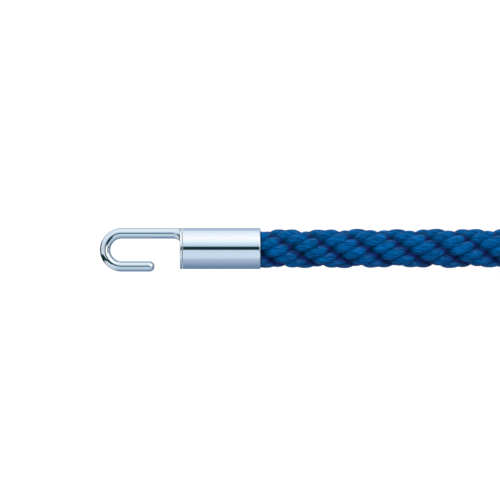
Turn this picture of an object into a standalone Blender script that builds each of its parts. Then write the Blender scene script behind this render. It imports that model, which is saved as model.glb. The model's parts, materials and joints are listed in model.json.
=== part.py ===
"""Barrier rope: a braided rope with a swivelling J-hook end fitting on each end.

It lies on a flat surface, folded once for storage, at its real length. Metres, +Z up.
The origin is the bearing face inside hook A's bend, on that fitting's axis. +X runs
along the fitting to the rope, and the hooks lie flat in the XY plane.
"""

from math import cos, hypot, pi, radians, sin

import bmesh
import bpy
import numpy as np
from mathutils import Matrix, Vector

# Hook: round bar bent to a J, with its long leg brazed to the rim of the end cap.
BAR_R = 0.0036
BEND_R = 0.0113  # bar centreline
BEND_OFFSET = -0.0009  # the bend's centre sits this far off the fitting's axis
TIP_X = 0.03025
TIP_ROUND = 0.0033  # length of the rounded tip
BAR_SIDES = 16
BEND_STEPS = 13  # odd, so that one flat facet lies square across the axis
FOOT_FLARE = 0.0022  # how far the braze spreads the long leg's foot
FOOT_LENGTH = 0.0052

# End cap and sleeve, along the fitting's axis.
SHELL_R = 0.0140
CAP_FRONT = 0.0477
CAP_THICKNESS = 0.0015
SEAM = 0.0004  # running gap between the cap and the sleeve
SLEEVE_END = 0.1028
SLEEVE_BORE_R = 0.0129
SHELL_EDGE = 0.0006  # chamfer of the shell's rims

# Swivel: a rivet through the cap turns in a plug that is pressed into the sleeve.
SHANK_R = 0.0030
SHANK_BORE_R = 0.0031
PEEN_R = 0.0042
RIVET_HEAD_R = 0.0065
RIVET_HEAD_LENGTH = 0.0028
WASHER_R = 0.0078
WASHER_THICKNESS = 0.0011
WASHER_SEAT_R = 0.0083
WASHER_SEAT_DEPTH = 0.0010
PLUG_R = 0.0126
PLUG_END = 0.0740
BEARING_END = 0.0620  # the shank's bore runs to here, and a wider bore beyond it

# Rope, its bound ends and the screws that hold them.
ROPE_R = 0.0125
BOUND_R = 0.0120
BINDING_IN_R = 0.01215
BINDING_OUT_R = 0.0126
BINDING_END = 0.0905
SCREW_X = 0.0830
SCREW_R = 0.0020
SCREW_HOLE_R = 0.0023
SCREW_OUTER = 0.0137  # distances from the axis
SCREW_INNER = 0.0065
SCREW_HOLE_INNER = 0.0062
HEX_SOCKET_R = 0.00115
HEX_SOCKET_DEPTH = 0.0018
SCREW_ANGLES = (-35, -145)  # degrees, both on the fitting's underside

GAP = 0.0003  # between pieces that touch
SLEEVE_START = CAP_FRONT + CAP_THICKNESS + SEAM
ROPE_SIDES_RESOLUTION = 4
ROPE_STEP = 0.0210
ROUND_SIDES = 32
INNER_SIDES = 24

# The second fitting lies beside the rope's first run and faces the other way.
END_B = (0.5640, 0.0320)

# Strap round the rope's two neighbouring runs.
TIE_X = 0.3950
TIE_WIDTH = 0.0200
TIE_IN_R = ROPE_R + GAP
TIE_OUT_R = SHELL_R

# The rope's route from sleeve A's mouth to sleeve B's, lying on the surface.
LOW = ROPE_R - SHELL_R
ROUTE = (
    (SLEEVE_END, 0.0000, 0.0000),
    (0.1300, -0.0001, -0.0004),
    (0.1700, 0.0000, -0.0013),
    (0.2200, 0.0002, LOW),
    (0.2700, 0.0003, LOW),
    (0.3350, 0.0002, -0.0010),
    (TIE_X, 0.0000, 0.0000),
    (0.4500, -0.0006, -0.0010),
    (0.5100, -0.0020, LOW),
    (0.5705, -0.0012, LOW),
    (0.6245, 0.0100, LOW),
    (0.6635, 0.0385, LOW),
    (0.6775, 0.0790, LOW),
    (0.6625, 0.1190, LOW),
    (0.6235, 0.1450, LOW),
    (0.5705, 0.1535, LOW),
    (0.5080, 0.1515, LOW),
    (0.4480, 0.1510, LOW),
    (0.3920, 0.1535, LOW),
    (0.3530, 0.1530, LOW),
    (0.3200, 0.1430, LOW),
    (0.2975, 0.1200, LOW),
    (0.2895, 0.0890, LOW),
    (0.2990, 0.0590, LOW),
    (0.3230, 0.0390, LOW),
    (0.3530, 0.0325, -0.0010),
    (TIE_X, END_B[1], 0.0000),
    (END_B[0] - SLEEVE_END, END_B[1], 0.0000),
)


def clear_scene():
    for item in list(bpy.data.objects):
        bpy.data.objects.remove(item, do_unlink=True)


def material(name, colour, roughness, metallic):
    made = bpy.data.materials.new(name)
    made.use_nodes = True
    shader = made.node_tree.nodes["Principled BSDF"]
    shader.inputs["Base Color"].default_value = (*colour, 1.0)
    shader.inputs["Roughness"].default_value = roughness
    shader.inputs["Metallic"].default_value = metallic
    return made


def add_mesh(name, form, finish, parent=None):
    """Puts a bmesh into the scene as an object, closed and facing out."""
    bmesh.ops.remove_doubles(form, verts=form.verts, dist=1e-7)
    bmesh.ops.recalc_face_normals(form, faces=form.faces)
    mesh = bpy.data.meshes.new(name)
    form.to_mesh(mesh)
    form.free()
    mesh.shade_smooth()
    mesh.set_sharp_from_angle(angle=radians(35))
    mesh.materials.append(finish)
    made = bpy.data.objects.new(name, mesh)
    made.parent = parent
    bpy.context.collection.objects.link(made)
    return made


def add_frame(name, location, turn=0.0, parent=None):
    made = bpy.data.objects.new(name, None)
    made.location = location
    made.rotation_euler = (0.0, 0.0, turn)
    made.parent = parent
    made.empty_display_size = 0.01
    bpy.context.collection.objects.link(made)
    return made


def turned(profile, sides):
    """A solid of revolution about X from (x, radius) points, closed on itself or on the axis."""
    form = bmesh.new()
    points = [form.verts.new((x, radius, 0.0)) for x, radius in profile]
    ends_on_axis = profile[0][1] == 0.0 and profile[-1][1] == 0.0
    pairs = list(zip(points, points[1:]))
    if not ends_on_axis:
        pairs.append((points[-1], points[0]))
    edges = [form.edges.new(pair) for pair in pairs]
    bmesh.ops.spin(
        form, geom=points + edges, cent=(0, 0, 0), axis=(1, 0, 0),
        angle=2 * pi, steps=sides, use_merge=True,
    )
    bmesh.ops.remove_doubles(form, verts=form.verts, dist=1e-7)
    return form


def rings_to_form(rings):
    """Bridges rings of equal count into a tube and closes its two ends."""
    form = bmesh.new()
    rows = [[form.verts.new(point) for point in ring] for ring in rings]
    count = len(rows[0])
    for row, following in zip(rows, rows[1:]):
        for i in range(count):
            j = (i + 1) % count
            form.faces.new((row[i], row[j], following[j], following[i]))
    form.faces.new(list(reversed(rows[0])))
    form.faces.new(rows[-1])
    return form


def hook_stations():
    """(centre, inward direction, radius) along the bar, from its tip to the foot of its long leg."""
    facet = BAR_R * cos(pi / BAR_SIDES)
    bend_x = (BEND_R - facet) * cos(pi / (2 * BEND_STEPS))
    short_y = BEND_OFFSET - BEND_R
    long_y = BEND_OFFSET + BEND_R
    stations = []
    for share, size in ((0.0, 0.42), (0.12, 0.68), (0.35, 0.87), (0.65, 0.97), (1.0, 1.0)):
        centre = Vector((TIP_X - share * TIP_ROUND, short_y, 0.0))
        stations.append((centre, Vector((0, 1, 0)), size * BAR_R))
    for step in range(BEND_STEPS + 1):
        angle = -pi / 2 - pi * step / BEND_STEPS
        outward = Vector((cos(angle), sin(angle), 0.0))
        centre = Vector((bend_x, BEND_OFFSET, 0.0)) + BEND_R * outward
        stations.append((centre, -outward, BAR_R))
    foot_end = CAP_FRONT - GAP
    for share in (0.0, 0.4, 0.7, 0.88, 1.0):
        centre = Vector((foot_end - (1 - share) * FOOT_LENGTH, long_y, 0.0))
        stations.append((centre, Vector((0, -1, 0)), BAR_R + FOOT_FLARE * share**2.5))
    return stations


def hook_form():
    rings = []
    for centre, inward, radius in hook_stations():
        ring = []
        for side in range(BAR_SIDES):
            angle = 2 * pi * (side + 0.5) / BAR_SIDES
            point = centre + radius * (cos(angle) * inward + sin(angle) * Vector((0, 0, 1)))
            reach = hypot(point.y, point.z)
            if radius > BAR_R and reach > SHELL_R:  # the foot stays within the cap's rim
                point.y *= SHELL_R / reach
                point.z *= SHELL_R / reach
            ring.append(point)
        rings.append(ring)
    return rings_to_form(rings)


def cap_form():
    back = CAP_FRONT + CAP_THICKNESS
    edge = 0.6 * SHELL_EDGE
    hole = SHANK_R + GAP
    return turned((
        (CAP_FRONT, PEEN_R + GAP), (CAP_FRONT, SHELL_R - edge), (CAP_FRONT + edge, SHELL_R),
        (back - edge, SHELL_R), (back, SHELL_R - edge), (back, hole),
        (CAP_FRONT + 0.0010, hole),
    ), ROUND_SIDES)


def sleeve_form():
    return turned((
        (SLEEVE_START, SLEEVE_BORE_R), (SLEEVE_START, SHELL_R - SHELL_EDGE),
        (SLEEVE_START + SHELL_EDGE, SHELL_R), (SLEEVE_END - SHELL_EDGE, SHELL_R),
        (SLEEVE_END, SHELL_R - SHELL_EDGE), (SLEEVE_END, SLEEVE_BORE_R),
    ), ROUND_SIDES)


def plug_form():
    seat = SLEEVE_START + WASHER_SEAT_DEPTH
    return turned((
        (SLEEVE_START, WASHER_SEAT_R), (SLEEVE_START, PLUG_R - SHELL_EDGE),
        (SLEEVE_START + SHELL_EDGE, PLUG_R), (PLUG_END, PLUG_R), (PLUG_END, WASHER_SEAT_R),
        (BEARING_END, WASHER_SEAT_R), (BEARING_END, SHANK_BORE_R), (seat, SHANK_BORE_R),
        (seat, WASHER_SEAT_R),
    ), INNER_SIDES)


def washer_form(start):
    end = start + WASHER_THICKNESS
    hole = SHANK_R + GAP
    return turned(((start, hole), (start, WASHER_R), (end, WASHER_R), (end, hole)), INNER_SIDES)


def rivet_form():
    head = BEARING_END + WASHER_THICKNESS + GAP
    crown = head + RIVET_HEAD_LENGTH
    return turned((
        (CAP_FRONT, 0.0), (CAP_FRONT, PEEN_R), (CAP_FRONT + 0.0009, SHANK_R), (head, SHANK_R),
        (head, RIVET_HEAD_R), (head + 0.45 * RIVET_HEAD_LENGTH, RIVET_HEAD_R),
        (head + 0.8 * RIVET_HEAD_LENGTH, 0.75 * RIVET_HEAD_R), (crown, 0.4 * RIVET_HEAD_R),
        (crown, 0.0),
    ), INNER_SIDES)


def rope_end_form():
    start = PLUG_END + GAP
    end = SLEEVE_END - GAP
    return turned((
        (start, 0.0), (start, BOUND_R), (BINDING_END + GAP, BOUND_R),
        (BINDING_END + 3 * GAP, ROPE_R), (end, ROPE_R), (end, 0.0),
    ), INNER_SIDES)


def binding_form():
    start = PLUG_END + 3 * GAP
    return turned((
        (start, BINDING_IN_R), (start, BINDING_OUT_R), (BINDING_END, BINDING_OUT_R),
        (BINDING_END, BINDING_IN_R),
    ), INNER_SIDES)


def across(form, angle):
    """Stands a form turned about X square to the fitting's axis, at the screws' place."""
    direction = Vector((0.0, cos(angle), sin(angle)))
    turn = Vector((1, 0, 0)).rotation_difference(direction).to_matrix().to_4x4()
    form.transform(Matrix.Translation((SCREW_X, 0, 0)) @ turn)
    return form


def screw_form(angle):
    """A grub screw with a hexagonal socket, sunk just below the sleeve's surface."""
    floor = SCREW_OUTER - HEX_SOCKET_DEPTH
    rim = 0.0003
    sides = 24
    outline = (
        (SCREW_INNER, 0.6 * SCREW_R), (SCREW_INNER + 0.0010, SCREW_R),
        (SCREW_OUTER - rim, SCREW_R), (SCREW_OUTER, SCREW_R - rim),
    )
    form = bmesh.new()
    rows = []
    for x, radius in outline:
        rows.append([form.verts.new((x, radius * cos(2 * pi * i / sides), radius * sin(2 * pi * i / sides)))
                     for i in range(sides)])
    for x in (SCREW_OUTER, floor):
        row = []
        for i in range(sides):
            turn = (2 * pi * i / sides) % (pi / 3) - pi / 6
            reach = HEX_SOCKET_R * cos(pi / 6) / cos(turn)
            row.append(form.verts.new((x, reach * cos(2 * pi * i / sides), reach * sin(2 * pi * i / sides))))
        rows.append(row)
    for row, following in zip(rows, rows[1:]):
        for i in range(sides):
            j = (i + 1) % sides
            form.faces.new((row[i], row[j], following[j], following[i]))
    form.faces.new(rows[0])
    form.faces.new(rows[-1])
    return across(form, angle)


def screw_cutter(name, angle, parent):
    form = across(turned((
        (SCREW_HOLE_INNER, 0.0), (SCREW_HOLE_INNER, SCREW_HOLE_R),
        (SHELL_R + 0.002, SCREW_HOLE_R), (SHELL_R + 0.002, 0.0),
    ), 24), angle)
    made = add_mesh(name, form, FINISHES["steel"], parent)
    made.hide_render = True
    made.display_type = "WIRE"
    return made


def cut(piece, cutters):
    for cutter in cutters:
        hole = piece.modifiers.new(cutter.name, "BOOLEAN")
        hole.operation = "DIFFERENCE"
        hole.object = cutter


def end_fitting(letter, frame):
    """All pieces of one end: the turning hook group on its own axis frame, and the fixed rest."""
    swivel = add_frame(f"swivel_axis_{letter}", (0, 0, 0), parent=frame)
    add_mesh(f"hook_{letter}", hook_form(), FINISHES["chrome"], swivel)
    add_mesh(f"end_cap_{letter}", cap_form(), FINISHES["chrome"], swivel)
    add_mesh(f"swivel_rivet_{letter}", rivet_form(), FINISHES["steel"], swivel)

    seat_start = SLEEVE_START + WASHER_SEAT_DEPTH - GAP / 2 - WASHER_THICKNESS
    add_mesh(f"cap_washer_{letter}", washer_form(seat_start), FINISHES["brass"], frame)
    add_mesh(f"thrust_washer_{letter}", washer_form(BEARING_END + GAP / 2), FINISHES["brass"], frame)
    add_mesh(f"swivel_plug_{letter}", plug_form(), FINISHES["steel"], frame)
    sleeve = add_mesh(f"sleeve_{letter}", sleeve_form(), FINISHES["chrome"], frame)
    rope_end = add_mesh(f"rope_end_{letter}", rope_end_form(), FINISHES["rope"], frame)
    binding = add_mesh(f"rope_binding_{letter}", binding_form(), FINISHES["tape"], frame)

    cutters = []
    for number, degrees in enumerate(SCREW_ANGLES, 1):
        angle = radians(degrees)
        add_mesh(f"rope_screw_{letter}_{number}", screw_form(angle), FINISHES["steel"], frame)
        cutters.append(screw_cutter(f"screw_hole_{letter}_{number}", angle, frame))
    for piece in (sleeve, rope_end, binding):
        cut(piece, cutters)


def smooth_route(points, step):
    """Even points along the cubic spline, smooth in curvature, that runs through the given ones."""
    points = np.array(points, float)
    gaps = np.linalg.norm(np.diff(points, axis=0), axis=1)
    at = np.concatenate([[0.0], np.cumsum(gaps)])
    count = len(points)
    system = np.zeros((count, count))
    right = np.zeros((count, 3))
    along = (points[1] - points[0]) * (1, 0, 0)
    system[0, :2] = 2 * gaps[0], gaps[0]
    right[0] = 6 * ((points[1] - points[0]) / gaps[0] - along / np.linalg.norm(along))
    along = (points[-1] - points[-2]) * (1, 0, 0)
    system[-1, -2:] = gaps[-1], 2 * gaps[-1]
    right[-1] = 6 * (along / np.linalg.norm(along) - (points[-1] - points[-2]) / gaps[-1])
    for i in range(1, count - 1):
        system[i, i - 1:i + 2] = gaps[i - 1], 2 * (gaps[i - 1] + gaps[i]), gaps[i]
        right[i] = 6 * ((points[i + 1] - points[i]) / gaps[i] - (points[i] - points[i - 1]) / gaps[i - 1])
    bend = np.linalg.solve(system, right)

    fine = np.linspace(0.0, at[-1], 4000)
    k = np.clip(np.searchsorted(at, fine, side="right") - 1, 0, count - 2)
    width = gaps[k][:, None]
    b = ((fine - at[k]) / gaps[k])[:, None]
    a = 1 - b
    curve = a * points[k] + b * points[k + 1]
    curve += ((a**3 - a) * bend[k] + (b**3 - b) * bend[k + 1]) * width**2 / 6
    run = np.concatenate([[0.0], np.cumsum(np.linalg.norm(np.diff(curve, axis=0), axis=1))])
    even = np.linspace(0.0, run[-1], round(run[-1] / step) + 1)
    return np.column_stack([np.interp(even, run, curve[:, axis]) for axis in range(3)])


def add_rope():
    curve = bpy.data.curves.new("rope", "CURVE")
    curve.dimensions = "3D"
    curve.bevel_depth = ROPE_R
    curve.bevel_resolution = ROPE_SIDES_RESOLUTION
    curve.use_fill_caps = True
    route = smooth_route(ROUTE, ROPE_STEP)
    spline = curve.splines.new("POLY")
    spline.points.add(len(route) - 1)
    for point, place in zip(spline.points, route):
        point.co = (*place, 1.0)
    curve.materials.append(FINISHES["rope"])
    made = bpy.data.objects.new("rope", curve)
    bpy.context.collection.objects.link(made)


def add_tie():
    """A flat strap closed into a ring round the two neighbouring runs."""
    half_turn = 12
    form = bmesh.new()
    loops = []
    for radius in (TIE_IN_R, TIE_OUT_R):
        for x in (TIE_X - TIE_WIDTH / 2, TIE_X + TIE_WIDTH / 2):
            loop = []
            for centre_y, first in ((END_B[1], -pi / 2), (0.0, pi / 2)):
                for i in range(half_turn + 1):
                    angle = first + pi * i / half_turn
                    loop.append(form.verts.new((x, centre_y + radius * cos(angle), radius * sin(angle))))
            loops.append(loop)
    near_in, far_in, near_out, far_out = loops
    for one, other in ((near_in, far_in), (far_in, far_out), (far_out, near_out), (near_out, near_in)):
        for i in range(len(one)):
            j = (i + 1) % len(one)
            form.faces.new((one[i], one[j], other[j], other[i]))
    add_mesh("storage_tie", form, FINISHES["strap"])


clear_scene()
FINISHES = {
    "chrome": material("chrome_plate", (0.80, 0.84, 0.88), 0.06, 1.0),
    "steel": material("plain_steel", (0.55, 0.56, 0.57), 0.35, 1.0),
    "brass": material("brass", (0.75, 0.58, 0.27), 0.30, 1.0),
    "rope": material("blue_rope", (0.0, 0.10, 0.32), 0.70, 0.0),
    "tape": material("binding_tape", (0.85, 0.85, 0.82), 0.60, 0.0),
    "strap": material("tie_strap", (0.02, 0.02, 0.025), 0.80, 0.0),
}
end_fitting("a", add_frame("end_a", (0, 0, 0)))
end_fitting("b", add_frame("end_b", (*END_B, 0), turn=pi))
add_rope()
add_tie()
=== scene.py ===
"""The looks of the barrier rope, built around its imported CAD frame.

Each visible CAD solid is replaced by a finer mesh in the same place: the two hooks, caps
and sleeves, the braided rope and its strap. The pieces inside the sleeves stay as they
are and get procedural materials. Metres, in the CAD's own frame.
"""

import json
from math import acos, atan, cos, hypot, pi, radians, sin, sqrt, tan

import bmesh
import bpy
import numpy as np
from mathutils import Matrix, Vector


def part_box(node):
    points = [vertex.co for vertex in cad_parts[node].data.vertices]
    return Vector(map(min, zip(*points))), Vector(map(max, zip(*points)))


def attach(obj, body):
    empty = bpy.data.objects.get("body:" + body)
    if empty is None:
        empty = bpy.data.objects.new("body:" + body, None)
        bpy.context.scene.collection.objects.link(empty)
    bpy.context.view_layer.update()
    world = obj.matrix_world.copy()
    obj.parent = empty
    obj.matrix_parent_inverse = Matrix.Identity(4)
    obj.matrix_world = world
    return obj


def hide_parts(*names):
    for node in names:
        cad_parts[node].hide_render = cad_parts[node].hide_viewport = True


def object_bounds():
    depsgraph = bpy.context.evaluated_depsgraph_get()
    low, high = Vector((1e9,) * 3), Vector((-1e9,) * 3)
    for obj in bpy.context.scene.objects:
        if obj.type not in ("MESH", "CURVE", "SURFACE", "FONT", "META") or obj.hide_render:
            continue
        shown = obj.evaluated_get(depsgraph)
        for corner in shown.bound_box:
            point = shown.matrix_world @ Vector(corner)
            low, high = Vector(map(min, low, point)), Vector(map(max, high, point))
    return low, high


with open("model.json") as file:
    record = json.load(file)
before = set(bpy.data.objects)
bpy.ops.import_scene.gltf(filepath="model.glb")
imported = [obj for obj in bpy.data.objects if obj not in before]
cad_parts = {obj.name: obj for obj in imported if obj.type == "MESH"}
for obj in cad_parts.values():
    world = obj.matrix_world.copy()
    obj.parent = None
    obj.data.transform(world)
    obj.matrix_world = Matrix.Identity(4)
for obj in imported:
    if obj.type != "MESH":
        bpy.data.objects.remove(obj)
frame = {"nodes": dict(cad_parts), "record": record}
CAD_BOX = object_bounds()

MM = 0.001
MOUNTS = {mount["name"]: Vector(mount["pos_m"]) for mount in frame["record"]["mounts"]}
END_B = MOUNTS["hook_seat_b"]
ENDS = {
    "a": Matrix.Identity(4),
    "b": Matrix.Translation(END_B) @ Matrix.Rotation(pi, 4, "Z"),
}
FIXED_BODY = "rope_assembly"
FLOOR = CAD_BOX[0][2]
SHARP_ANGLE = 35  # degrees: a crease steeper than this stays sharp

# The end fitting, in its own frame: +X along its axis from the hook's bend to the rope.
SHELL_R = 14.0 * MM
SHELL_SIDES = 160
CAP_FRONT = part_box("end_cap_a")[0][0]
CAP_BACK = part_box("end_cap_a")[1][0]
CAP_ROUND = 0.28 * MM
SLEEVE_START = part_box("sleeve_a")[0][0]
SLEEVE_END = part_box("sleeve_a")[1][0]
SLEEVE_BORE_R = 12.9 * MM
MOUTH_ROUND = 0.65 * MM
BORE_ROUND = 0.30 * MM
SEAM_GROWTH = 0.04 * MM  # how far the cap and the sleeve each grow into the CAD's seam
SEAM_CROWN = (0.20 * MM, 0.10 * MM)  # how far the seam's edges are eased, along and into the shell
HOLD = 0.15 * MM  # a row this far into a straight stretch keeps its shading straight
BAR_R = 3.6 * MM
BAR_SIDES = 48
BEND_R = 11.3 * MM
BEND_OFFSET = -0.9 * MM
BEND_STEPS = 72
TIP_X = 30.25 * MM
TIP_STEPS = 12
TIP_FULLNESS = 0.85  # 1 is a half ball, and less is fuller
FOOT_FLARE = 2.6 * MM
FOOT_LENGTH = 5.4 * MM
FOOT_STEPS = 16
PEEN_RECESS = (1.0 * MM, 4.5 * MM)  # depth and radius
RIVET_HOLE_R = 3.3 * MM
SCREW_X = 83.0 * MM
SCREW_HOLE_R = 2.25 * MM
SCREW_HOLE_SIDES = 48
SCREW_ANGLES = (-35, -145)  # degrees round the axis from +Y

# The rope's route from sleeve A's mouth to sleeve B's, as in the CAD.
ROPE_R = 12.5 * MM
ROPE_IN_SLEEVE = 28.0 * MM
TIE_X = 0.3950
LOW = ROPE_R - SHELL_R
ROUTE = (
    (SLEEVE_END, 0.0000, 0.0000),
    (0.1300, -0.0001, -0.0004),
    (0.1700, 0.0000, -0.0013),
    (0.2200, 0.0002, LOW),
    (0.2700, 0.0003, LOW),
    (0.3350, 0.0002, -0.0010),
    (TIE_X, 0.0000, 0.0000),
    (0.4500, -0.0006, -0.0010),
    (0.5100, -0.0020, LOW),
    (0.5705, -0.0012, LOW),
    (0.6245, 0.0100, LOW),
    (0.6635, 0.0385, LOW),
    (0.6775, 0.0790, LOW),
    (0.6625, 0.1190, LOW),
    (0.6235, 0.1450, LOW),
    (0.5705, 0.1535, LOW),
    (0.5080, 0.1515, LOW),
    (0.4480, 0.1510, LOW),
    (0.3920, 0.1535, LOW),
    (0.3530, 0.1530, LOW),
    (0.3200, 0.1430, LOW),
    (0.2975, 0.1200, LOW),
    (0.2895, 0.0890, LOW),
    (0.2990, 0.0590, LOW),
    (0.3230, 0.0390, LOW),
    (0.3530, 0.0325, -0.0010),
    (TIE_X, END_B[1], 0.0000),
    (END_B[0] - SLEEVE_END, END_B[1], 0.0000),
)
ROUTE_SAMPLES = 6000
DIRECTION_REACH = 1.5 * MM  # the rope's direction is read this far ahead and behind

# What holds the rope: (place, largest radius) in millimetres, by the distance past a
# sleeve's mouth and by the distance from the strap's middle. No float reaches 14.5 mm, so
# the rope is free there.
MOUTH_HOLD = ((-13.5, 12.0), (-11.5, 12.55), (-0.3, 12.55), (2.5, 14.5))
STRAP_HOLD = ((10.5, 12.7), (14.5, 14.5))
# A painted shadow of each sleeve's lip: near the mouth it lowers the crown, so the yarn there takes the
# painted shade that follows the crown.
LIP_SHADE = ((0.2, 0.1), (1.1, 1.0))  # (millimetres past the mouth, share of the light left)

# The solid braid. Its strands surface as leaf-shaped floats on a lattice round the rope:
# one step ACROSS to the next float of a row, one step ALONG to the next row, and 7 steps
# across less 3 along make one full turn.
REPEAT = 26.60 * MM
REPEAT_TURN = radians(4.3)
ACROSS_X = 3 * REPEAT / 13
ACROSS_TURN = (2 * pi + 3 * REPEAT_TURN) / 13
ALONG_X = REPEAT - 2 * ACROSS_X
ALONG_TURN = REPEAT_TURN - 2 * ACROSS_TURN
PHASE_X = 28.5 * MM  # from the sleeve's mouth to a corner between floats
PHASE_TURN = radians(23.6)
UNROLL_R = 12.0 * MM
CORE_R = 8.6 * MM
FLOAT_AXIS_R = 8.05 * MM  # where a strand's middle runs under the top of its float
STRAND_HEIGHT = 5.4 * MM
STRAND_HALF_WIDTH = 4.65 * MM
STRAND_FULLNESS = 2.05  # 2 is an ellipse, and more is squarer
FLOAT_SKEW = 0.16  # how far a float turns from the line of its row
FLOAT_WANDER = 0.20 * MM  # how far a float may lie to one side of its row
FLOAT_LIFT = 0.28 * MM  # how far a float may stand above or below the others
HEAD_REACH = 10.2 * MM  # from a float's middle to where it has sunk by DIVE
HEAD_BLUNTNESS = 3.2
TAIL_REACH = 9.7 * MM
TAIL_BLUNTNESS = 2.4
DIVE = 4.1 * MM
TWIST_SLOPE = 1.0  # how steeply filaments cross their strand
CURL_SLOPE = 0.6  # how far along the strand they move as they cross it
STREAK_JUMPS = (61, 47)  # how far apart two floats' streaks are read, along and across
TINT_SPREAD = 0.07
ROPE_SIDES = 96
HIDDEN_STEP = 2.4 * MM  # between rings inside a sleeve
FINE_STEP = 0.5 * MM
COARSE_STEP = 1.8 * MM
FINE_FROM = -4.0 * MM
FINE_UNTIL = 0.170  # metres of rope past the mouth
FLOOR_GAP = 0.05 * MM  # the rope's underside is pressed flat this far above the floor

# The strap round both runs of rope.
STRAP_INNER_R = 12.85 * MM
STRAP_THICKNESS = 1.0 * MM
STRAP_EDGE = 0.25 * MM
STRAP_END_STEPS = 24
TAIL_START = radians(10)  # where the tail begins, round the second run
TAIL_STEPS = 16
TAIL_RISE = 1.6  # it lies wholly on the band after 1 / TAIL_RISE of its arc
STRAP_TAIL_Y = 3.0 * MM
TAIL_CORNER_R = 4.0 * MM
STITCH_ROWS = (24.0 * MM, 26.5 * MM)
STITCHES_PER_ROW = 7
STITCH_ROW_SHARE = 0.84  # of the strap's width
STITCH_HALF_SIZE = (1.05 * MM, 0.32 * MM, 0.22 * MM)

# Colours of the yarn, from its creases to its lightest filaments. The glint after them is a painted
# highlight, and the last three colours are painted shade: in the creases, under the floats' tails and in the
# hollows.
YARN_DARK = (0.000, 0.023, 0.074)
YARN_MIDDLE = (0.000, 0.080, 0.250)
YARN_LIGHT = (0.000, 0.188, 0.585)
YARN_PAINTED_GLINT = (0.120, 0.210, 0.560)
YARN_PAINTED_CREASE_SHADE = (0.000, 0.030, 0.085)
YARN_PAINTED_TAIL_SHADE = (0.009, 0.013, 0.100)
YARN_PAINTED_HOLLOW_SHADE = (0.001, 0.014, 0.022)

# The studio that the plate reflects. The dome's colour changes round the X axis, by
# degrees from straight up towards +Y.
DOME = (
    (-180, (0.13, 0.24, 0.36)),
    (-130, (0.14, 0.23, 0.34)),
    (-100, (0.25, 0.33, 0.48)),
    (-68, (0.39, 0.47, 0.62)),
    (-50, (0.61, 0.72, 0.83)),
    (-25, (0.60, 0.72, 0.82)),
    (-9, (0.55, 0.67, 0.82)),
    (10, (0.34, 0.45, 0.60)),
    (17, (0.50, 0.66, 0.80)),
    (40, (0.82, 0.92, 0.97)),
    (62, (1.00, 1.00, 1.02)),
    (100, (0.77, 0.87, 0.94)),
    (118, (0.66, 0.77, 0.87)),
    (128, (0.42, 0.54, 0.68)),
    (150, (0.40, 0.50, 0.66)),
    (180, (0.13, 0.24, 0.36)),
)
DOME_STRENGTH = 1.05
LEFT_WALL = (0.80, 0.83, 0.89)
LEFT_FOOT = (0.01, 0.03, 0.06)
RIGHT_FOOT = (0.20, 0.29, 0.42)
LAMP_PANEL = (1.25, 1.20, 1.20)
SLIT_DARK = (0.005, 0.030, 0.032)
SLIT_MIDDLE = 0.025

FLOOR_HALF = 4.0
FLOOR_GREY = 0.16
FLOOR_GLOW = 0.95
KEY_FROM = (0.55, 0.60, 0.75)
KEY_STRENGTH = 1.3
KEY_ANGLE = radians(20)
SENSOR_WIDTH = 36.0
VIEW_WIDTH = 0.3425
CAMERA_PLACE = (0.0956, -0.0010, 4.0)


# ---------------------------------------------------------------- nodes

class Tree:
    """The nodes of one material or of the world. An input is given a value or a socket."""

    def __init__(self, owner):
        owner.use_nodes = True
        self.nodes, self.links = owner.node_tree.nodes, owner.node_tree.links

    def set(self, node, inputs):
        for name, value in inputs.items():
            if isinstance(value, bpy.types.NodeSocket):
                self.links.new(value, node.inputs[name])
            else:
                node.inputs[name].default_value = value

    def add(self, kind, inputs, **settings):
        node = self.nodes.new(f"ShaderNode{kind}")
        for key, value in settings.items():
            setattr(node, key, value)
        self.set(node, inputs)
        return node

    def place(self):
        return self.add("TexCoord", {}).outputs["Object"]

    def attribute(self, name):
        return self.add("Attribute", {}, attribute_name=name).outputs["Fac"]

    def stretched(self, vector, scale):
        return self.add("Mapping", {"Vector": vector, "Scale": scale}).outputs["Vector"]

    def noise(self, vector, scale, detail, roughness=0.5):
        inputs = {"Vector": vector, "Scale": scale, "Detail": detail, "Roughness": roughness}
        return self.add("TexNoise", inputs).outputs["Fac"]

    def streaks(self, vector, along, across, detail):
        """Noise drawn out along the filaments. vector is (distance along, distance across)."""
        return self.noise(self.stretched(vector, (along, across, 1.0)), 1.0, detail, 0.6)

    def ramp(self, value, stops):
        node = self.add("ValToRGB", {"Fac": value})
        elements = node.color_ramp.elements
        while len(elements) < len(stops):
            elements.new(0.5)
        for element, (place, colour) in zip(elements, stops):
            element.position = place
            element.color = (*colour, 1.0)
        return node.outputs["Color"]

    def spread(self, value, low, high, from_low=0.0, from_high=1.0):
        """value, from its own range to the range from low to high."""
        inputs = {"Value": value, "From Min": from_low, "From Max": from_high, "To Min": low, "To Max": high}
        return self.add("MapRange", inputs).outputs["Result"]

    def ease(self, value, low, high):
        """0 where value is below low, rising smoothly to 1 above high. low may be the larger."""
        inputs = {"Value": value, "From Min": low, "From Max": high}
        return self.add("MapRange", inputs, interpolation_type="SMOOTHSTEP").outputs["Result"]

    def combine(self, operation, *values):
        return self.add("Math", dict(enumerate(values)), operation=operation).outputs["Value"]

    def product(self, first, *others):
        for other in others:
            first = self.combine("MULTIPLY", first, other)
        return first

    def blend(self, base, colour, factor):
        inputs = {"A": base, "B": (*colour, 1), "Factor": factor}
        return self.add("Mix", inputs, data_type="RGBA").outputs["Result"]

    def bump(self, height, strength, distance):
        inputs = {"Height": height, "Strength": strength, "Distance": distance}
        return self.add("Bump", inputs).outputs["Normal"]


# ---------------------------------------------------------------- materials

def new_material(name):
    made = bpy.data.materials.new(name)
    tree = Tree(made)
    return made, tree, tree.nodes["Principled BSDF"]


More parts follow.
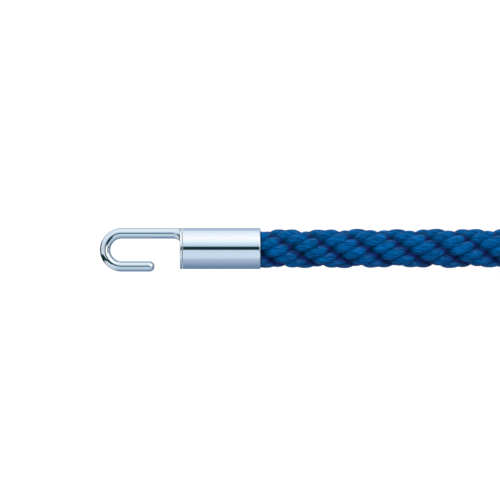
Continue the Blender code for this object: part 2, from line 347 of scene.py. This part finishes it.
def chrome(name, colour):
    """Bright plate: nearly a mirror, with faint waviness left by the polishing wheel."""
    made, tree, shader = new_material(name)
    place = tree.place()
    haze = tree.noise(place, 700.0, 4.0)
    wave = tree.noise(place, 90.0, 2.0)
    tree.set(shader, {
        "Base Color": (*colour, 1),
        "Metallic": 1.0,
        "Roughness": tree.spread(haze, 0.035, 0.075, from_low=0.35, from_high=0.75),
        "Normal": tree.bump(wave, 0.05, 0.4 * MM),
    })
    return made


def turned_metal(name, colour, rough_low, rough_high):
    """Bare machined metal with fine rings round the fitting's axis."""
    made, tree, shader = new_material(name)
    rings = tree.stretched(tree.place(), (6000.0, 300.0, 300.0))
    grain = tree.noise(rings, 1.0, 3.0)
    dull = [0.8 * part for part in colour]
    tree.set(shader, {
        "Base Color": tree.ramp(grain, ((0.3, dull), (0.7, colour))),
        "Metallic": 1.0,
        "Roughness": tree.spread(grain, rough_low, rough_high),
        "Normal": tree.bump(grain, 0.15, 0.1 * MM),
    })
    return made


def woven(name, dark, light, weave_scale, roughness):
    """Plain weave from two crossed waves. A thread is 0.31 / weave_scale metres wide."""
    made, tree, shader = new_material(name)
    inputs = {"Vector": tree.place(), "Scale": weave_scale, "Distortion": 0.6, "Detail": 1.0}
    waves = [tree.add("TexWave", inputs, bands_direction=run).outputs["Fac"] for run in "XY"]
    weave = tree.product(*waves)
    tree.set(shader, {
        "Base Color": tree.ramp(weave, ((0.0, dark), (0.6, light))),
        "Roughness": roughness,
        "Normal": tree.bump(weave, 0.5, 0.2 * MM),
    })
    return made


def braid_yarn():
    """Blue filament yarn. The strand's own coordinates turn the streaks with its twist."""
    made, tree, shader = new_material("blue_braid_yarn")
    strand = tree.add("UVMap", {}, uv_map="strand").outputs["UV"]
    crown = tree.attribute("crown")
    past_middle = tree.attribute("past_middle")
    across = tree.attribute("across_strand")

    plies = tree.streaks(strand, 0.06, 0.85, 2.0)
    filaments = tree.streaks(strand, 0.16, 2.3, 3.0)
    fibre = tree.combine("ADD", tree.product(plies, 0.5), tree.product(filaments, 0.5))
    tone = tree.ramp(fibre, ((0.38, YARN_DARK), (0.50, YARN_MIDDLE), (0.62, YARN_LIGHT)))
    level = {"Color": tone, "Value": tree.attribute("strand_tint")}
    colour = tree.add("HueSaturation", level).outputs["Color"]

    # A painted highlight: pale glints along one rim of each float, over the middle of its length, where the
    # filament noise is light.
    on_rim = tree.product(tree.ease(across, -0.20, -0.50), tree.ease(across, -0.95, -0.70))
    glint_stretch = tree.product(tree.ease(past_middle, 0.05, 0.30), tree.ease(past_middle, 0.85, 0.60))
    glint_speckle = tree.product(tree.ease(filaments, 0.46, 0.66), 0.45)
    colour = tree.blend(colour, YARN_PAINTED_GLINT, tree.product(on_rim, glint_stretch, glint_speckle))

    # Painted shade: the yarn is darkened into its creases, given a violet painted shade where a float's tail
    # goes under the next one, and painted nearly black in the hollows.
    in_crease = tree.product(tree.ease(crown, 0.66, 0.34), 0.60)
    colour = tree.blend(colour, YARN_PAINTED_CREASE_SHADE, in_crease)
    going_under = tree.product(tree.ease(past_middle, 0.20, 0.75), tree.ease(crown, 0.92, 0.40))
    colour = tree.blend(colour, YARN_PAINTED_TAIL_SHADE, going_under)
    colour = tree.blend(colour, YARN_PAINTED_HOLLOW_SHADE, tree.ease(crown, 0.20, 0.00))

    tree.set(shader, {
        "Base Color": colour,
        "Roughness": tree.spread(fibre, 0.60, 0.36),
        "Specular IOR Level": 0.24,
        "Specular Tint": (0.0, 0.50, 1.0, 1),
        "Normal": tree.bump(fibre, 1.0, 1.0 * MM),
    })
    return made


# ---------------------------------------------------------------- mesh helpers

def link_object(name, data):
    made = bpy.data.objects.new(name, data)
    bpy.context.collection.objects.link(made)
    return made


def add_piece(name, form, finish, body, replaced, sharp=SHARP_ANGLE):
    """Puts a bmesh into the scene as a piece that rides on a CAD body."""
    bmesh.ops.remove_doubles(form, verts=form.verts, dist=1e-7)
    bmesh.ops.recalc_face_normals(form, faces=form.faces)
    mesh = bpy.data.meshes.new(name)
    form.to_mesh(mesh)
    form.free()
    mesh.shade_smooth()
    mesh.set_sharp_from_angle(angle=radians(sharp))
    mesh.materials.append(finish)
    piece = link_object(name, mesh)
    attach(piece, body)
    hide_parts(replaced)
    return piece


def turned(profile, sides):
    """A solid of revolution about X from (x, radius) points, closed on itself or on the axis."""
    form = bmesh.new()
    points = [form.verts.new((x, radius, 0.0)) for x, radius in profile]
    pairs = list(zip(points, points[1:]))
    if profile[0][1] > 0 or profile[-1][1] > 0:
        pairs.append((points[-1], points[0]))
    edges = [form.edges.new(pair) for pair in pairs]
    bmesh.ops.spin(
        form, geom=points + edges, cent=(0, 0, 0), axis=(1, 0, 0),
        angle=2 * pi, steps=sides, use_merge=True,
    )
    return form


def rounded(profile, corner, steps=5):
    """The profile with the given corners, {index: radius}, replaced by arcs."""
    made = []
    for i, point in enumerate(profile):
        if i not in corner:
            made.append(point)
            continue
        here = Vector(point)
        before = (Vector(profile[i - 1]) - here).normalized()
        after = (Vector(profile[(i + 1) % len(profile)]) - here).normalized()
        turn = acos(max(-1.0, min(1.0, before.dot(after))))
        reach = corner[i] / tan(turn / 2)
        centre = here + (before + after).normalized() * corner[i] / sin(turn / 2)
        start = here + before * reach - centre
        end = here + after * reach - centre
        for k in range(steps + 1):
            made.append(tuple(centre + corner[i] * start.slerp(end, k / steps)))
    return made


def join_rows(form, rows, closed):
    """Faces between rows of points. closed joins the last row to the first, or both are capped."""
    rows = [[form.verts.new(point) for point in row] for row in rows]
    following = rows[1:] + rows[:1] if closed else rows[1:]
    for row, after in zip(rows, following):
        for i in range(len(row)):
            j = (i + 1) % len(row)
            form.faces.new((row[i], row[j], after[j], after[i]))
    if not closed:
        form.faces.new(rows[0])
        form.faces.new(rows[-1])


# ---------------------------------------------------------------- end fittings

def bar_stations():
    """(centre, inward direction, radius) along the hook's bar, from its tip to its foot."""
    bend_x = BEND_R - BAR_R
    short_y = BEND_OFFSET - BEND_R
    long_y = BEND_OFFSET + BEND_R
    stations = []
    for k in range(1, TIP_STEPS + 1):
        angle = (pi / 2) * k / TIP_STEPS
        centre = Vector((TIP_X - BAR_R * (1 - cos(angle)), short_y, 0))
        stations.append((centre, Vector((0, 1, 0)), BAR_R * sin(angle) ** TIP_FULLNESS))
    for x in (TIP_X - BAR_R - HOLD, bend_x + HOLD):
        stations.append((Vector((x, short_y, 0)), Vector((0, 1, 0)), BAR_R))
    for k in range(BEND_STEPS + 1):
        angle = -pi / 2 - pi * k / BEND_STEPS
        outward = Vector((cos(angle), sin(angle), 0))
        stations.append((Vector((bend_x, BEND_OFFSET, 0)) + BEND_R * outward, -outward, BAR_R))
    for x in (bend_x + HOLD, CAP_FRONT - FOOT_LENGTH - HOLD):
        stations.append((Vector((x, long_y, 0)), Vector((0, -1, 0)), BAR_R))
    for k in range(FOOT_STEPS + 1):
        share = k / FOOT_STEPS
        centre = Vector((CAP_FRONT - (1 - share) * FOOT_LENGTH, long_y, 0))
        spread = FOOT_FLARE * (1 - sqrt(1 - share**2))
        stations.append((centre, Vector((0, -1, 0)), BAR_R + spread))
    return stations


def hook_form():
    """A round bar bent to a J, whose foot spreads into the braze but not past the cap's rim."""
    rows = []
    for centre, inward, radius in bar_stations():
        row = []
        for side in range(BAR_SIDES):
            angle = 2 * pi * side / BAR_SIDES
            point = centre + radius * (cos(angle) * inward + sin(angle) * Vector((0, 0, 1)))
            reach = hypot(point.y, point.z)
            if radius > BAR_R and reach > SHELL_R:
                point.y *= SHELL_R / reach
                point.z *= SHELL_R / reach
            row.append(point)
        rows.append(row)
    form = bmesh.new()
    join_rows(form, rows, closed=False)
    return form


def eased_edge(end, inward):
    """Points of the shell's outline at a seam, from the flat of the shell to its eased end."""
    along, into = SEAM_CROWN
    return [
        (end + inward * along * (1 - sin(angle)), SHELL_R - into * (1 - cos(angle)))
        for angle in (radians(15 * step) for step in range(7))
    ]


def cap_form():
    """The turning cap, with the rivet's hole and a recess round its peened end."""
    back = CAP_BACK + SEAM_GROWTH
    depth, recess_r = PEEN_RECESS
    corners = ((CAP_FRONT, recess_r), (CAP_FRONT, SHELL_R), (back, SHELL_R))
    front = rounded(corners, {1: CAP_ROUND})
    return turned((
        *front[:-1], *eased_edge(back, -1), (back, RIVET_HOLE_R),
        (CAP_FRONT + depth, RIVET_HOLE_R), (CAP_FRONT + depth, recess_r),
    ), SHELL_SIDES)


def sleeve_form():
    """The sleeve's tube, with a rounded mouth where the rope comes out."""
    start = SLEEVE_START - SEAM_GROWTH
    corners = (
        (start, SHELL_R), (SLEEVE_END, SHELL_R), (SLEEVE_END, SLEEVE_BORE_R), (start, SLEEVE_BORE_R),
    )
    mouth = rounded(corners, {1: MOUTH_ROUND, 2: BORE_ROUND})
    crown = list(reversed(eased_edge(start, 1)))
    holds = ((crown[-1][0] + HOLD, SHELL_R), (mouth[1][0] - HOLD, SHELL_R))
    return turned((*crown, *holds, *mouth[1:]), SHELL_SIDES)


def screw_cutter(place, angle):
    """A rod that makes the hole for one rope screw."""
    length = 20 * MM
    outline = ((0, 0), (0, SCREW_HOLE_R), (length, SCREW_HOLE_R), (length, 0))
    form = turned(outline, SCREW_HOLE_SIDES)
    direction = Vector((0, cos(angle), sin(angle)))
    turn = Vector((1, 0, 0)).rotation_difference(direction).to_matrix().to_4x4()
    form.transform(place @ Matrix.Translation((SCREW_X, 0, 0)) @ turn)
    bmesh.ops.recalc_face_normals(form, faces=form.faces)
    mesh = bpy.data.meshes.new("screw_cutter")
    form.to_mesh(mesh)
    form.free()
    return link_object("screw_cutter", mesh)


def cut_screw_holes(piece, place):
    cutters = [screw_cutter(place, radians(angle)) for angle in SCREW_ANGLES]
    for cutter in cutters:
        hole = piece.modifiers.new("screw_hole", "BOOLEAN")
        hole.object = cutter
    graph = bpy.context.evaluated_depsgraph_get()
    cut = bpy.data.meshes.new_from_object(piece.evaluated_get(graph))
    piece.modifiers.clear()
    piece.data = cut
    cut.set_sharp_from_angle(angle=radians(SHARP_ANGLE))
    for cutter in cutters:
        bpy.data.objects.remove(cutter)


def add_end_fitting(letter, place, shell_plate, bar_plate):
    hook_body = f"hook_end_{letter}"
    for name, form, plate, body, node in (
        ("hook_bar", hook_form(), bar_plate, hook_body, "hook"),
        ("cap_plate", cap_form(), shell_plate, hook_body, "end_cap"),
        ("sleeve_shell", sleeve_form(), shell_plate, FIXED_BODY, "sleeve"),
    ):
        form.transform(place)
        piece = add_piece(f"{name}_{letter}", form, plate, body, f"{node}_{letter}")
        if node == "sleeve":
            cut_screw_holes(piece, place)


# ---------------------------------------------------------------- rope

def smooth_route(points):
    """Fine points along the cubic spline, smooth in curvature, through the given ones."""
    points = np.array(points, float)
    gaps = np.linalg.norm(np.diff(points, axis=0), axis=1)
    at = np.concatenate([[0.0], np.cumsum(gaps)])
    count = len(points)
    system = np.zeros((count, count))
    right = np.zeros((count, 3))
    along = (points[1] - points[0]) * (1, 0, 0)
    system[0, :2] = 2 * gaps[0], gaps[0]
    right[0] = 6 * ((points[1] - points[0]) / gaps[0] - along / np.linalg.norm(along))
    along = (points[-1] - points[-2]) * (1, 0, 0)
    system[-1, -2:] = gaps[-1], 2 * gaps[-1]
    right[-1] = 6 * (along / np.linalg.norm(along) - (points[-1] - points[-2]) / gaps[-1])
    for i in range(1, count - 1):
        system[i, i - 1:i + 2] = gaps[i - 1], 2 * (gaps[i - 1] + gaps[i]), gaps[i]
        ahead = (points[i + 1] - points[i]) / gaps[i]
        right[i] = 6 * (ahead - (points[i] - points[i - 1]) / gaps[i - 1])
    bend = np.linalg.solve(system, right)

    fine = np.linspace(0.0, at[-1], ROUTE_SAMPLES)
    k = np.clip(np.searchsorted(at, fine, side="right") - 1, 0, count - 2)
    width = gaps[k][:, None]
    b = ((fine - at[k]) / gaps[k])[:, None]
    a = 1 - b
    curve = a * points[k] + b * points[k + 1]
    return curve + ((a**3 - a) * bend[k] + (b**3 - b) * bend[k + 1]) * width**2 / 6


class RopeLine:
    """The rope's centreline by distance past sleeve A's mouth, straight on into both sleeves."""

    def __init__(self):
        free = smooth_route(ROUTE)
        gaps = np.linalg.norm(np.diff(free, axis=0), axis=1)
        run = np.concatenate([[0.0], np.cumsum(gaps)])
        self.free_length = run[-1]
        first = free[0] + (free[0] - free[1]) / gaps[0] * ROPE_IN_SLEEVE
        last = free[-1] + (free[-1] - free[-2]) / gaps[-1] * ROPE_IN_SLEEVE
        self.points = np.vstack([first, free, last])
        self.run = np.concatenate([[-ROPE_IN_SLEEVE], run, [run[-1] + ROPE_IN_SLEEVE]])

    def past_mouth(self, distance):
        """How far each place is outside the nearer sleeve, or below 0 inside it."""
        return np.minimum(distance, self.free_length - distance)

    def at(self, distance):
        return np.column_stack([np.interp(distance, self.run, self.points[:, i]) for i in range(3)])

    def frames(self, distance):
        """Centre, up and right-hand directions, square to the rope."""
        centre = self.at(distance)
        ahead = self.at(distance + DIRECTION_REACH) - self.at(distance - DIRECTION_REACH)
        ahead /= np.linalg.norm(ahead, axis=1)[:, None]
        left = np.cross((0.0, 0.0, 1.0), ahead)
        left /= np.linalg.norm(left, axis=1)[:, None]
        return centre, np.cross(ahead, left), -left


def ring_distances(free_length):
    """Where the rope's rings stand: close together near fitting A, wider further on."""
    inside = np.arange(-ROPE_IN_SLEEVE, FINE_FROM, HIDDEN_STEP)
    fine = np.arange(FINE_FROM, FINE_UNTIL, FINE_STEP)
    coarse = np.arange(FINE_UNTIL, free_length + ROPE_IN_SLEEVE, COARSE_STEP)
    return np.concatenate([inside, fine, coarse, [free_length + ROPE_IN_SLEEVE]])


def lattice_cell(x, turn):
    """Lattice coordinates (across, along) of points at distance x and angle turn."""
    x = x - PHASE_X
    turn = turn - PHASE_TURN
    scale = ACROSS_X * ALONG_TURN - ACROSS_TURN * ALONG_X
    across = (x * ALONG_TURN - turn * ALONG_X) / scale
    along = (ACROSS_X * turn - ACROSS_TURN * x) / scale
    return across, along


def scatter(number, seed):
    """A steady random value from -1 to 1 for each float's number. The factors only scramble it."""
    mixed = np.sin(number * 12.9898 + seed * 78.233) * 43758.5453
    return 2 * (mixed - np.floor(mixed)) - 1


def float_coordinates(x, turn, m, n):
    """Position on float (m, n): p along its strand and q across it, on the unrolled rope."""
    centre_x = PHASE_X + (m + 0.5) * ACROSS_X + (n + 0.5) * ALONG_X
    centre_turn = PHASE_TURN + (m + 0.5) * ACROSS_TURN + (n + 0.5) * ALONG_TURN
    dx = x - centre_x
    dy = (turn - centre_turn) * UNROLL_R
    slant = atan(UNROLL_R * ALONG_TURN / ALONG_X)
    return dx * cos(slant) + dy * sin(slant), dy * cos(slant) - dx * sin(slant)


def float_number(m, n):
    """The same for every name of one float, because (m, n) and (m + 7, n - 3) are one."""
    return 3 * m + 7 * n


def float_radius(x, turn, m, n):
    """The surface of float (m, n): a round strand that sinks bluntly at its head, slowly at its tail."""
    p, q = float_coordinates(x, turn, m, n)
    number = float_number(m, n)
    q = np.abs(q - FLOAT_SKEW * p + FLOAT_WANDER * scatter(number, 1)) / STRAND_HALF_WIDTH
    bulge = np.sqrt(np.clip(1 - q**STRAND_FULLNESS, 0, None)) - 2 * np.clip(q - 1, 0, None)
    head = (np.clip(-p, 0, None) / HEAD_REACH) ** HEAD_BLUNTNESS
    tail = (np.clip(p, 0, None) / TAIL_REACH) ** TAIL_BLUNTNESS
    lift = FLOAT_LIFT * scatter(number, 2)
    return FLOAT_AXIS_R + lift + STRAND_HEIGHT * bulge - DIVE * (head + tail)


def top_float(x, turn):
    """For each point: the rope's radius and the names of the float that is on top there."""
    across, along = lattice_cell(x, turn)
    m0, n0 = np.floor(across), np.floor(along)
    best = np.full(x.shape, -1.0)
    best_m, best_n = m0.copy(), n0.copy()
    for dm in (-1, 0, 1):
        for dn in (-1, 0, 1):
            height = float_radius(x, turn, m0 + dm, n0 + dn)
            higher = height > best
            best = np.where(higher, height, best)
            best_m = np.where(higher, m0 + dm, best_m)
            best_n = np.where(higher, n0 + dn, best_n)
    return best, best_m, best_n


def between(distance, stops):
    """Straight lines through the stops, whose places are in millimetres."""
    places, values = zip(*stops)
    return np.interp(distance / MM, places, values)


def held_radius(past_mouth, centre):
    """The radius that the bindings, the sleeves and the strap hold the rope to, at each ring."""
    in_sleeve = between(past_mouth, MOUTH_HOLD) * MM
    in_strap = between(np.abs(centre[:, 0] - TIE_X), STRAP_HOLD) * MM
    return np.where(centre[:, 1] < END_B[1] + ROPE_R, np.minimum(in_sleeve, in_strap), in_sleeve)


def add_streak_map(mesh, corner_x, corner_turn, m, n):
    """A UV map in millimetres that runs with each float's own filaments."""
    p, q = float_coordinates(corner_x, corner_turn, m[..., None], n[..., None])
    number = float_number(m, n)
    wrapped = STRAND_HALF_WIDTH * np.arcsin(np.clip(q / STRAND_HALF_WIDTH, -1, 1))
    along = (p + CURL_SLOPE * q) / MM + STREAK_JUMPS[0] * scatter(number, 3)[..., None]
    across = (wrapped - TWIST_SLOPE * p) / MM + STREAK_JUMPS[1] * scatter(number, 4)[..., None]
    uv = np.stack([along, across], axis=-1)
    flat = np.zeros((len(mesh.loops), 2), np.float32)
    flat[: uv.size // 2] = uv.reshape(-1, 2)
    mesh.uv_layers.new(name="strand").data.foreach_set("uv", flat.ravel())


def add_values(mesh, name, domain, values):
    layer = mesh.attributes.new(name, "FLOAT", domain)
    layer.data.foreach_set("value", values.ravel().astype(np.float32))


def rope_mesh(line):
    """The braid's mesh and its rings' centres. The mesh's long edges run with the strands."""
    distance = ring_distances(line.free_length)
    rings, sides = len(distance), ROPE_SIDES
    step = 2 * pi / sides
    follow = ALONG_TURN / ALONG_X
    turn = 2 * pi * np.arange(sides)[None, :] / sides + follow * distance[:, None]
    x = np.repeat(distance[:, None], sides, axis=1)
    radius, m, n = top_float(x, turn)
    radius = np.maximum(radius, CORE_R)
    p, q = float_coordinates(x, turn, m, n)
    past_mouth = line.past_mouth(distance)
    # Painted shadow of the sleeve's lip: the crown, which sets the yarn's painted shade, falls near each
    # mouth.
    lit = between(past_mouth, LIP_SHADE)
    crown = lit[:, None] * (radius - CORE_R) / (FLOAT_AXIS_R + STRAND_HEIGHT - CORE_R)

    centre, up, right = line.frames(distance)
    radius = np.minimum(radius, held_radius(past_mouth, centre)[:, None])
    points = centre[:, None] + radius[..., None] * (
        np.cos(turn)[..., None] * up[:, None] + np.sin(turn)[..., None] * right[:, None]
    )
    points[..., 2] = np.maximum(points[..., 2], FLOOR + FLOOR_GAP)

    index = np.arange(rings * sides).reshape(rings, sides)
    here, beside = index[:-1], np.roll(index[:-1], -1, axis=1)
    ahead, ahead_beside = index[1:], np.roll(index[1:], -1, axis=1)
    quads = np.stack([here, ahead, ahead_beside, beside], axis=-1).reshape(-1, 4)
    faces = quads.tolist() + [index[0].tolist(), index[-1][::-1].tolist()]
    mesh = bpy.data.meshes.new("braided_rope")
    mesh.from_pydata(points.reshape(-1, 3), [], faces)

    corner_x = np.stack([x[:-1], x[1:], x[1:], x[:-1]], axis=-1)
    corner_turn = np.stack([turn[:-1], turn[1:], turn[1:] + step, turn[:-1] + step], axis=-1)
    _, face_m, face_n = top_float(corner_x.mean(axis=-1), corner_turn.mean(axis=-1))
    add_streak_map(mesh, corner_x, corner_turn, face_m, face_n)
    add_values(mesh, "crown", "POINT", crown)
    add_values(mesh, "past_middle", "POINT", p / TAIL_REACH)
    add_values(mesh, "across_strand", "POINT", (q - FLOAT_SKEW * p) / STRAND_HALF_WIDTH)
    tints = np.ones(len(faces))
    tints[: face_m.size] += TINT_SPREAD * scatter(float_number(face_m, face_n), 5).ravel()
    add_values(mesh, "strand_tint", "FACE", tints)
    mesh.shade_smooth()
    return mesh, centre


def add_rope(finish):
    line = RopeLine()
    mesh, path = rope_mesh(line)
    mesh.materials.append(finish)
    piece = link_object("braided_rope", mesh)
    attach(piece, FIXED_BODY)
    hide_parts("rope", "rope_end_a", "rope_end_b")
    return piece, line, path


# ---------------------------------------------------------------- strap

def strap_row(x_middle, half, spine, out, inner, outer):
    """One cross-section of the strap, flat with eased edges, square to its run."""
    edge = STRAP_EDGE
    section = (
        (-half + edge, inner), (-half, inner + edge), (-half, outer - edge), (-half + edge, outer),
        (half - edge, outer), (half, outer - edge), (half, inner + edge), (half - edge, inner),
    )
    return [(x_middle + x, spine[0] + r * out[0], spine[1] + r * out[1]) for x, r in section]


def strap_band_rows(middle, half):
    """The band round both runs: half a turn at each end."""
    rows = []
    for centre_y, first in ((END_B[1], -pi / 2), (0.0, pi / 2)):
        for i in range(STRAP_END_STEPS + 1):
            angle = first + pi * i / STRAP_END_STEPS
            out = (cos(angle), sin(angle))
            rows.append(strap_row(middle, half, (centre_y, 0), out, STRAP_INNER_R, SHELL_R))
    return rows


def strap_tail_rows(middle, half):
    """The tail, which rises out of the band, lies flat on it and ends in round corners."""
    rows = []
    for i in range(TAIL_STEPS + 1):
        angle = TAIL_START + (pi / 2 - TAIL_START) * i / TAIL_STEPS
        rise = STRAP_THICKNESS * min(1.0, TAIL_RISE * i / TAIL_STEPS)
        under = SHELL_R + rise - STRAP_THICKNESS
        out = (cos(angle), sin(angle))
        rows.append(strap_row(middle, half, (END_B[1], 0), out, under, under + STRAP_THICKNESS))
    for i in range(TAIL_STEPS + 1):
        angle = (pi / 2) * i / TAIL_STEPS
        y = STRAP_TAIL_Y + TAIL_CORNER_R * (1 - sin(angle))
        narrow = half - TAIL_CORNER_R * (1 - cos(angle))
        rows.append(strap_row(middle, narrow, (y, 0), (0, 1), SHELL_R, SHELL_R + STRAP_THICKNESS))
    return rows


def add_stitches(form, middle, half):
    shape = Matrix.Diagonal((*STITCH_HALF_SIZE, 1))
    for row_y in STITCH_ROWS:
        for i in range(STITCHES_PER_ROW):
            x = middle + half * STITCH_ROW_SHARE * (2 * i / (STITCHES_PER_ROW - 1) - 1)
            place = Matrix.Translation((x, row_y, SHELL_R + STRAP_THICKNESS))
            bmesh.ops.create_icosphere(form, subdivisions=2, radius=1, matrix=place @ shape)


def add_strap(finish):
    """A hook-and-loop strap round two runs of the rope, its tail lapped over its start."""
    low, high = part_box("storage_tie")
    middle, half = (low[0] + high[0]) / 2, (high[0] - low[0]) / 2
    form = bmesh.new()
    join_rows(form, strap_band_rows(middle, half), closed=True)
    join_rows(form, strap_tail_rows(middle, half), closed=False)
    add_stitches(form, middle, half)
    return add_piece("strap_band", form, finish, FIXED_BODY, "storage_tie", sharp=50)


# ---------------------------------------------------------------- stage

def add_floor():
    """A plain pale floor. It doesn't show in the plate or tint what lies on it."""
    mesh = bpy.data.meshes.new("floor")
    signs = ((-1, -1), (1, -1), (1, 1), (-1, 1))
    corners = [(x * FLOOR_HALF, y * FLOOR_HALF, FLOOR) for x, y in signs]
    mesh.from_pydata(corners, [], [(0, 1, 2, 3)])
    made, tree, shader = new_material("pale_floor")
    tree.set(shader, {
        "Base Color": (FLOOR_GREY, FLOOR_GREY, FLOOR_GREY, 1),
        "Roughness": 1.0,
        "Specular IOR Level": 0.0,
        "Emission Color": (1, 1, 1, 1),
        "Emission Strength": FLOOR_GLOW,
    })
    mesh.materials.append(made)
    floor = link_object("floor", mesh)
    floor.visible_glossy = False
    floor.visible_diffuse = False


def light_studio():
    """A dome with a pale wall on -X and a bright lamp panel on +X, both darker at the foot,
    and a narrow dark slit overhead between its two sides. x, y and z are a direction's parts."""
    world = bpy.data.worlds.new("studio")
    bpy.context.scene.world = world
    tree = Tree(world)
    towards = tree.add("TexCoord", {}).outputs["Generated"]
    x, y, z = tree.add("SeparateXYZ", {"Vector": towards}).outputs
    sideways = tree.combine("ABSOLUTE", y)

    round_x = tree.spread(tree.combine("ARCTAN2", y, z), 0.0, 1.0, from_low=-pi, from_high=pi)
    colour = tree.ramp(round_x, [((turn + 180) / 360, tone) for turn, tone in DOME])

    left_wall = tree.product(tree.ease(x, -0.12, -0.45), 0.65)
    colour = tree.blend(colour, LEFT_WALL, left_wall)
    left_foot = tree.product(
        tree.ease(x, -0.04, -0.25), tree.ease(z, -0.05, -0.38), tree.ease(sideways, 0.46, 0.24),
    )
    colour = tree.blend(colour, LEFT_FOOT, left_foot)

    # The slit and the panel's edge swing towards -Y on both sides of the middle.
    near_left = tree.product(tree.ease(x, -0.03, -0.30), 0.30)
    far_left = tree.product(tree.ease(x, -0.35, -0.80), 0.09)
    on_right = tree.product(tree.ease(x, 0.00, 0.32), 0.30)
    swing = tree.combine("ADD", tree.combine("ADD", near_left, far_left), on_right)
    across = tree.combine("ADD", y, swing)
    panel = tree.product(tree.ease(x, 0.10, 0.32), tree.ease(across, 0.02, 0.16))
    colour = tree.blend(colour, LAMP_PANEL, panel)
    right_foot = tree.product(tree.ease(x, 0.10, 0.35), tree.ease(z, 0.40, 0.15), 0.90)
    colour = tree.blend(colour, RIGHT_FOOT, right_foot)

    # The slit narrows between two stretches on the left. The panel has a dark outer edge.
    from_middle = tree.combine("ABSOLUTE", tree.combine("SUBTRACT", across, SLIT_MIDDLE))
    narrow = tree.combine("SUBTRACT", tree.ease(x, -0.06, -0.22), tree.ease(x, -0.50, -0.75))
    from_middle = tree.combine("ADD", from_middle, tree.product(narrow, 0.075))
    slit = tree.product(tree.ease(from_middle, 0.190, 0.133), tree.ease(x, 0.62, 0.48))
    panel_edge = tree.product(
        tree.ease(x, 0.71, 0.77), tree.ease(x, 0.96, 0.92),
        tree.ease(sideways, 0.30, 0.16), tree.ease(z, 0.10, 0.25),
    )
    colour = tree.blend(colour, SLIT_DARK, tree.combine("MAXIMUM", slit, panel_edge))
    tree.set(tree.nodes["Background"], {"Color": colour, "Strength": DOME_STRENGTH})


def add_key():
    """A soft lamp high on +X and +Y that models the braid. It doesn't show in the plate."""
    lamp = bpy.data.lights.new("key", "SUN")
    lamp.energy = KEY_STRENGTH
    lamp.angle = KEY_ANGLE
    key = link_object("key", lamp)
    key.rotation_euler = Vector(KEY_FROM).to_track_quat("Z", "Y").to_euler()
    key.visible_glossy = False


def set_camera():
    """Straight down on fitting A and the first stretch of rope."""
    data = bpy.data.cameras.new("camera")
    data.sensor_width = SENSOR_WIDTH
    data.lens = SENSOR_WIDTH * CAMERA_PLACE[2] / VIEW_WIDTH
    camera = link_object("camera", data)
    camera.location = CAMERA_PLACE
    bpy.context.scene.camera = camera


def finish_inner_pieces():
    """Materials for the CAD pieces inside the fittings, whose shapes stay."""
    steel = turned_metal("turned_steel", (0.55, 0.56, 0.57), 0.25, 0.45)
    brass = turned_metal("turned_brass", (0.75, 0.58, 0.27), 0.22, 0.40)
    tape = woven("cloth_tape", (0.60, 0.60, 0.56), (0.85, 0.85, 0.82), 900.0, 0.7)
    finishes = {
        "swivel_rivet_{}": steel, "swivel_plug_{}": steel, "cap_washer_{}": brass,
        "thrust_washer_{}": brass, "rope_binding_{}": tape,
        "rope_screw_{}_1": steel, "rope_screw_{}_2": steel,
    }
    for letter in ENDS:
        for name, finish in finishes.items():
            frame["nodes"][name.format(letter)].material_slots[0].material = finish


def main():
    shell_plate = chrome("bright_chrome", (0.90, 0.92, 0.94))
    bar_plate = chrome("bar_chrome", (0.76, 0.83, 0.86))
    strap = woven("woven_strap", (0.010, 0.010, 0.012), (0.05, 0.05, 0.055), 420.0, 0.85)
    finish_inner_pieces()
    for letter, place in ENDS.items():
        add_end_fitting(letter, place, shell_plate, bar_plate)
    rope, line, path = add_rope(braid_yarn())
    band = add_strap(strap)
    add_floor()
    light_studio()
    add_key()
    set_camera()
    bpy.context.scene.view_settings.view_transform = "Standard"


main()
